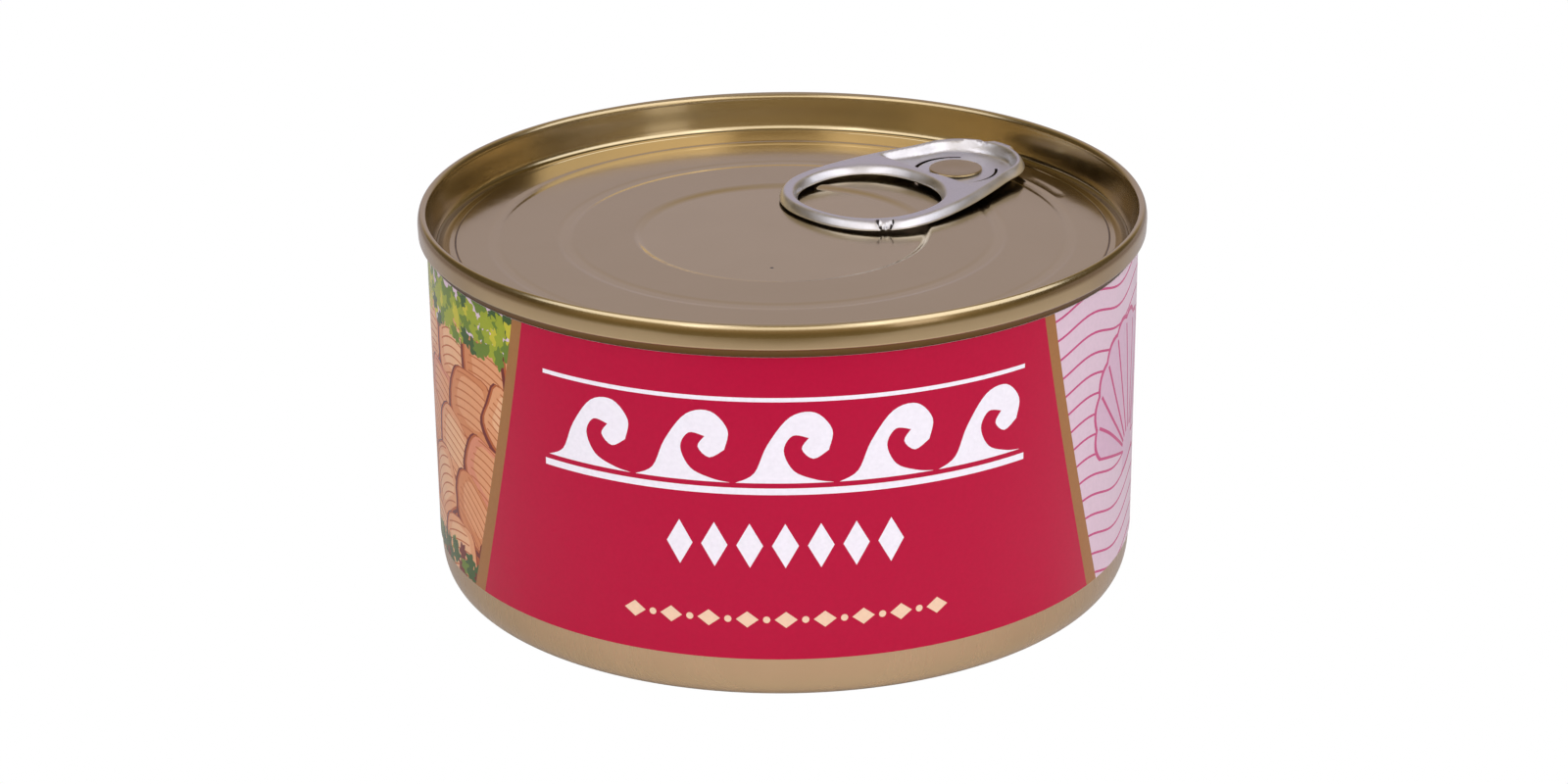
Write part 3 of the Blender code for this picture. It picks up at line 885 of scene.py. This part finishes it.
def flake_field(middle, prints):
    """The left field: peach flakes that overlap with rust gaps, and small frilled leaves above and below."""
    rng = random.Random(7)
    prints.append((field_ground(middle, LABEL_TOP + 1), "pale_pink"))
    prints.append((field_ground(middle, FLAKES_TOP), "rust"))
    for row, height in enumerate((34.0, 27.5, 21.0, 14.5, 8.0)):
        for column in range(-3, 5):
            x = middle + 9.2 * column + 4.6 * (row % 2) + rng.uniform(-1.0, 1.0)
            y = height + rng.uniform(-1.2, 1.2)
            turn = rng.uniform(-35, 35)
            outline, inner, lines = flake(rng, rng.uniform(5.0, 5.8), rng.uniform(4.0, 4.7))
            tone, heart = rng.choice((("peach", "pale_peach"), ("apricot", "peach"), ("salmon", "peach")))
            for shape, aside, above, ink in (
                (outline * 1.04, -0.2, -0.3, "burgundy"), (outline * 0.97, 0.0, 0.0, "rust"),
                (outline * 0.91, 0.1, 0.15, tone), (inner * 0.8, 0.3, 0.3, heart),
            ):
                prints.append((placed(shape, x + aside, y + above, turn), ink))
            for line in lines:
                prints.append((placed(ribbon(line, 0.2), x, y, turn), "flake_line"))
    for base_height, count, greens in (
        (41.0, 60, ("leaf_dark", "leaf_green", "leaf_lime", "leaf_green")),
        (39.7, 60, ("leaf_green", "leaf_lime", "leaf_yellow", "leaf_lime")),
        (38.3, 60, ("leaf_lime", "leaf_yellow", "leaf_green", "leaf_lime")),
        (36.9, 44, ("leaf_lime", "leaf_green", "leaf_yellow", "leaf_dark")),
        (7.4, 44, ("leaf_green", "leaf_dark", "leaf_dark", "burgundy")),
        (6.0, 44, ("leaf_dark", "leaf_green", "leaf_dark", "burgundy")),
    ):
        for index in range(count):
            x = middle - 33 + 66 * (index + 0.5) / count + rng.uniform(-0.8, 0.8)
            y = base_height + rng.uniform(-0.8, 0.8)
            prints.append((placed(frilled_leaf(rng), x, y, rng.uniform(0, 360)), rng.choice(greens)))


def shell(prints, x, y, turn, size):
    """A scallop shell in outline: a ribbed fan on a small hinge."""
    scallops = 9
    fan = []
    for step in range(scallops * 6 + 1):
        share = step / (scallops * 6)
        angle = math.radians(-12 + 204 * share)
        reach = 10.0 + 0.55 * abs(math.sin(math.pi * scallops * share))
        fan.append((reach * math.cos(angle), reach * math.sin(angle) * 1.05))
    outline = np.array(fan + [(-2.2, -6.4), (-3.4, -8.8), (3.4, -8.8), (2.2, -6.4)])
    prints.append((placed(outline * 1.03, x, y, turn, size), "crimson_line"))
    prints.append((placed(outline * 0.975, x, y, turn, size), "shell_pink"))
    for index in range(scallops - 1):
        angle = math.radians(-12 + 204 * (index + 1) / scallops)
        tip = (9.3 * math.cos(angle), 9.7 * math.sin(angle))
        foot = (0.25 * tip[0], 0.1 * tip[1] - 5.6)
        rib = smooth_curve((foot, (0.7 * tip[0], 0.45 * tip[1] - 1.6), tip), 6)
        prints.append((placed(ribbon(rib, 0.42), x, y, turn, size), "crimson_line"))


def wave_field(middle, prints):
    """The right field: thin crimson wave lines on pale pink, and two shells."""
    prints.append((field_ground(middle, LABEL_TOP + 1), "pale_pink"))
    reach = np.linspace(-33.5, 33.5, 68)
    for index in range(15):
        swell = 0.75 * np.sin(math.tau * (reach + FIELD_HALF_WIDTH) / 16.75 - math.pi / 2)
        height = 5.8 + 2.55 * index + swell
        prints.append((ribbon(np.stack([middle + reach, height], axis=1), 0.3), "crimson_line"))
    shell(prints, middle - 13.5, 25.0, 14, 1.0)
    shell(prints, middle + 13.5, 20.0, -12, 0.9)


def label_prints():
    """Every printed shape in painting order, as (outline, ink).

    The middle of the front is a crimson panel, and so is the back, whose two halves meet at the lap.
    """
    quarter = LABEL_ROUND / 4
    back_half = LABEL_ROUND / 2
    prints = []
    flake_field(-quarter, prints)
    wave_field(quarter, prints)
    for middle in (-2 * quarter, 0.0, 2 * quarter):
        prints.append((panel_shape(middle, 1), "old_gold"))
        prints.append((panel_shape(middle, 0), "crimson"))
    ornament_bands(0.0, prints)
    prints.append((box_shape(back_half - 29, 9, back_half - 4, 38, 2.0), "cream"))
    prints.append((box_shape(-back_half + 10, 9, -back_half + 29, 38, 2.0), "cream"))
    for index in range(8):
        height = 13.0 + 3.0 * index
        prints.append((box_shape(-back_half + 12, height, -back_half + 27, height + 0.25), "old_gold"))
    return prints


def counter_clockwise(outline):
    """The outline, turned over if it runs clockwise."""
    after = np.roll(outline, -1, axis=0)
    area = np.sum(outline[:, 0] * after[:, 1] - outline[:, 1] * after[:, 0])
    return outline if area > 0 else outline[::-1]


def make_label(inks):
    """Triangulate the print, wrap it round the wall with a lap at the back, and close it into a sheet."""
    left, right = -LABEL_ROUND / 2, LABEL_ROUND / 2 + LABEL_LAP
    prints = label_prints()
    sheet = box_shape(left, LABEL_BOTTOM, right, LABEL_TOP)
    coordinates, faces = [], []
    for outline in [sheet] + [outline for outline, ink in prints]:
        outline = counter_clockwise(np.asarray(outline))
        faces.append(list(range(len(coordinates), len(coordinates) + len(outline))))
        coordinates += [Vector(point) for point in outline.tolist()]
    edges = []
    facet = LABEL_ROUND / LABEL_FACETS
    for index in range(1, int((right - left) / facet) + 1):
        x = left + facet * index
        edges.append((len(coordinates), len(coordinates) + 1))
        coordinates += [Vector((x, LABEL_BOTTOM)), Vector((x, LABEL_TOP))]
    found, _, triangles, _, _, owners = delaunay_2d_cdt(coordinates, edges, faces, 0, 1e-5, True)
    plan = np.array([tuple(vert) for vert in found])
    names = list(inks)
    kept, colours = [], []
    for triangle, owner in zip(triangles, owners):
        if 0 not in owner:
            continue
        # Of the shapes that hold this triangle, the last one printed is on top
        top = max(owner)
        a, b, c = (plan[index] for index in triangle)
        turn = (b[0] - a[0]) * (c[1] - a[1]) - (b[1] - a[1]) * (c[0] - a[0])
        kept.append(tuple(triangle) if turn > 0 else tuple(triangle)[::-1])
        colours.append(names.index(prints[top - 1][1]) if top else names.index("crimson"))
    lift = (LABEL_THICKNESS + 0.03) * smooth_step((plan[:, 0] - right + LABEL_LAP + 2.0) / 2.0)
    angle = plan[:, 0] / LABEL_RADIUS - math.pi / 2
    shells = []
    for radius in (LABEL_RADIUS + lift, LABEL_RADIUS - LABEL_THICKNESS + lift):
        shells.append(np.column_stack([radius * np.cos(angle), radius * np.sin(angle), plan[:, 1]]))
    verts, faces = doubled(*shells, np.array(kept))
    colours += [names.index("paper")] * (len(faces) - len(colours))
    label = link("paper_label", verts, faces, list(inks.values()), colours)
    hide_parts("label")
    return label


def make_floor():
    """A plain white table, evenly white to the camera and dimmer away from the can in its reflections."""
    material, tree, shader, place = new_material("pale_studio_floor")
    set_shader(tree, shader, Base_Color=linear(FLOOR_WHITE), Roughness=0.9, Specular_IOR_Level=0.1)
    # Painted shade for the table in reflections, which glows as an emission: darker away from the can, as in
    # a dim room
    across, along, _ = add(tree, "SeparateXYZ", {0: place}).outputs
    far = add(tree, "VectorMath", {0: place}, operation="LENGTH").outputs["Value"]
    dims = add(tree, "MapRange", {0: far, 1: 0.08, 2: 0.25}).outputs[0]
    # Painted shadow of the can on the table behind it
    shaded = add(tree, "MapRange", {0: along, 1: -0.04, 2: 0.03, 3: 0.0, 4: 0.6}).outputs[0]
    # The table ends in front, within a wedge towards the camera, where the painted shade is full
    past = add(tree, "MapRange", {0: along, 1: -0.155, 2: -0.113, 3: 1.0, 4: 0.0}).outputs[0]
    aside = add(tree, "Math", {0: across}, operation="ABSOLUTE").outputs[0]
    wedge = add(tree, "Math", {0: along, 1: 0.8, 2: aside}, operation="MULTIPLY_ADD").outputs[0]
    within = add(tree, "MapRange", {0: wedge, 1: -0.03, 2: 0.01, 3: 1.0, 4: 0.0}).outputs[0]
    ended = add(tree, "Math", {0: past, 1: within}, operation="MULTIPLY").outputs[0]
    for other in (shaded, ended):
        dims = add(tree, "Math", {0: dims, 1: other}, operation="MAXIMUM").outputs[0]
    mirrored = add(tree, "LightPath").outputs["Is Glossy Ray"]
    share = add(tree, "Math", {0: dims, 1: mirrored}, operation="MULTIPLY").outputs[0]
    behind = add(tree, "MapRange", {0: along, 1: -0.16, 2: 0.04}).outputs[0]
    tones = {0: behind, 6: linear(TABLE_SHADE_IN_FRONT), 7: linear(TABLE_SHADE_BEHIND)}
    tint = add(tree, "Mix", tones, data_type="RGBA").outputs[2]
    dim = add(tree, "Emission", {"Color": tint}).outputs[0]
    mixed = add(tree, "MixShader", {0: share, 1: shader.outputs[0], 2: dim}).outputs[0]
    # Seen directly it is the photo's plain white ground, which shows no shadow
    seen = add(tree, "LightPath").outputs["Is Camera Ray"]
    white = add(tree, "Emission", {"Color": linear(WHITE)}).outputs[0]
    ground = add(tree, "MixShader", {0: seen, 1: mixed, 2: white}).outputs[0]
    # It is clear from below, so that the can's base can be looked at
    below = add(tree, "NewGeometry").outputs["Backfacing"]
    clear = add(tree, "BsdfTransparent").outputs[0]
    either = add(tree, "MixShader", {0: below, 1: ground, 2: clear}).outputs[0]
    tree.links.new(either, tree.nodes["Material Output"].inputs["Surface"])
    reach = 3000.0
    floor = link(
        "studio_floor",
        [(-reach, -reach, 0), (reach, -reach, 0), (reach, reach, 0), (-reach, reach, 0)],
        [(0, 1, 2, 3)], [material],
    )


def make_camera():
    """The photo's viewpoint, straight on to the front at about 22 degrees above the level."""
    camera = bpy.data.objects.new("photo_camera", bpy.data.cameras.new("photo_camera"))
    bpy.context.scene.collection.objects.link(camera)
    elevation = math.radians(CAMERA_ELEVATION)
    away = Vector((0.0, -math.cos(elevation), math.sin(elevation))) * CAMERA_DISTANCE
    place = (Vector((0.0, 0.0, CAMERA_TARGET_HEIGHT)) + away) * MM
    camera.matrix_world = (
        Matrix.Translation(place)
        @ Matrix.Rotation(math.radians(90) - elevation, 4, "X")
        @ Matrix.Rotation(math.radians(CAMERA_ROLL), 4, "Z")
    )
    camera.data.lens = CAMERA_LENS
    camera.data.sensor_width = CAMERA_SENSOR
    camera.data.clip_start = 0.01
    bpy.context.scene.camera = camera


def make_softbox(name, azimuth, elevation, distance, size, brightness, mirrored=True):
    """A soft light facing the can; azimuth is from the camera's side, positive to the right.

    Brightness is what a mirror would show of its face, where 1 is white.
    """
    lamp = bpy.data.lights.new(name, "AREA")
    lamp.shape = "RECTANGLE"
    lamp.size, lamp.size_y = size
    lamp.energy = brightness * math.pi * size[0] * size[1]
    lamp.color = linear(LAMP_WHITE)[:3]
    box = bpy.data.objects.new(name, lamp)
    box.visible_glossy = mirrored
    bpy.context.scene.collection.objects.link(box)
    turn, rise = math.radians(azimuth), math.radians(elevation)
    toward = Vector((math.sin(turn) * math.cos(rise), -math.cos(turn) * math.cos(rise), math.sin(rise)))
    box.location = toward * distance + Vector((0.0, 0.0, 0.03))
    box.rotation_euler = toward.to_track_quat("Z", "Y").to_euler()


def make_studio():
    """Soft studio: a dim room, a grey-lilac wall behind, a row of softboxes in front and a fill from above.

    The mirror-like metal sees the room as it is; matt surfaces get an even fill, as from a light tent, and
    the camera sees plain white.
    """
    world = bpy.data.worlds.new("soft_studio")
    bpy.context.scene.world = world
    world.use_nodes = True
    tree = world.node_tree
    tree.nodes.clear()
    way = add(tree, "SeparateXYZ", {0: add(tree, "TexCoord").outputs["Generated"]}).outputs
    aside = add(tree, "Math", {0: way["X"]}, operation="ABSOLUTE").outputs[0]
    depth = add(tree, "Math", {0: way["Y"], 1: aside}, operation="SUBTRACT").outputs[0]
    spans = []
    for value, start, end in (
        (way["Y"], -0.65, -0.1), (aside, 0.45, 0.8), (depth, 0.15, 0.6), (way["Z"], 0.83, 0.95),
    ):
        span = {0: value, 1: start, 2: end}
        spans.append(add(tree, "MapRange", span, interpolation_type="SMOOTHSTEP").outputs[0])
    back, wide, behind, overhead = spans
    sides = add(tree, "Math", {0: back, 1: wide}, operation="MULTIPLY").outputs[0]
    ray = add(tree, "LightPath").outputs
    # Dark to both sides, the wall behind, the ceiling, then what matt surfaces and the camera see instead
    room = linear(ROOM_DIM)
    for share, tone in (
        (sides, ROOM_DARK), (behind, ROOM_WALL), (overhead, ROOM_CEILING),
        (ray["Is Diffuse Ray"], ROOM_FILL), (ray["Is Camera Ray"], WHITE),
    ):
        room = add(tree, "Mix", {0: share, 6: room, 7: linear(tone)}, data_type="RGBA").outputs[2]
    background = add(tree, "Background", {"Color": room})
    add(tree, "OutputWorld", {"Surface": background.outputs[0]})
    make_softbox("softbox_left", -54, 41, 0.9, (0.94, 0.56), 1.15)
    make_softbox("softbox_middle", 0, 28, 0.92, (0.98, 0.34), 1.0)
    make_softbox("softbox_right", 62, 38, 0.9, (1.1, 0.62), 1.3)
    make_softbox("window_right", 40, 4, 1.0, (0.26, 0.36), 0.8)
    make_softbox("fill_above", 0, 70, 1.0, (2.0, 1.0), 0.9, mirrored=False)
    bpy.context.scene.view_settings.view_transform = "Standard"


def main():
    """Make the materials, the can's five pieces and the studio round them."""
    # The lid's metal takes painted shade on its chuck wall, groove, score line, seam face and neck
    lid_gold = gold_lacquered_tinplate(
        "gold_lacquered_tinplate_lid", "#d8c8a3", "#d1c19b", 0.15, 0.1, painted_shade=True,
    )
    body_gold = gold_lacquered_tinplate("gold_lacquered_tinplate_body", "#bfa47e", "#b79c76", 0.28, 0.2)
    aluminium = stamped_aluminium("stamped_aluminium_tab", "#f0f2f9", "#e0e2ea", 0.36)
    # A dark copy of the aluminium, for painted shade on the tab and its cut edges
    shade_and_cut_edge = stamped_aluminium("painted_shade_and_sheared_edge", "#4a4548", "#332f30", 0.5)
    inks = {}
    for ink, colour in (
        ("crimson", "#b70035"), ("old_gold", "#9f6c3c"), ("white", "#f4eff3"), ("cream", "#f3cfae"),
        ("pale_pink", "#dabfca"), ("shell_pink", "#d2aec0"), ("crimson_line", "#c04a78"),
        ("pale_peach", "#e6b184"), ("peach", "#dd9b6c"), ("apricot", "#cf8453"), ("salmon", "#d68866"),
        ("rust", "#b0592a"), ("flake_line", "#b8683a"), ("burgundy", "#6f2a20"), ("leaf_yellow", "#c2b832"),
        ("leaf_lime", "#98a228"), ("leaf_green", "#687f28"), ("leaf_dark", "#3f5a2a"), ("paper", "#efeae2"),
    ):
        inks[ink] = gloss_printed_paper("gloss_printed_paper_" + ink, colour)
    pieces = [
        make_lid(lid_gold), make_rivet(lid_gold), make_body(body_gold),
        make_tab(aluminium, shade_and_cut_edge), make_label(inks),
    ]
    for piece in pieces:
        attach(piece, "root")
    make_floor()
    make_camera()
    make_studio()


main()
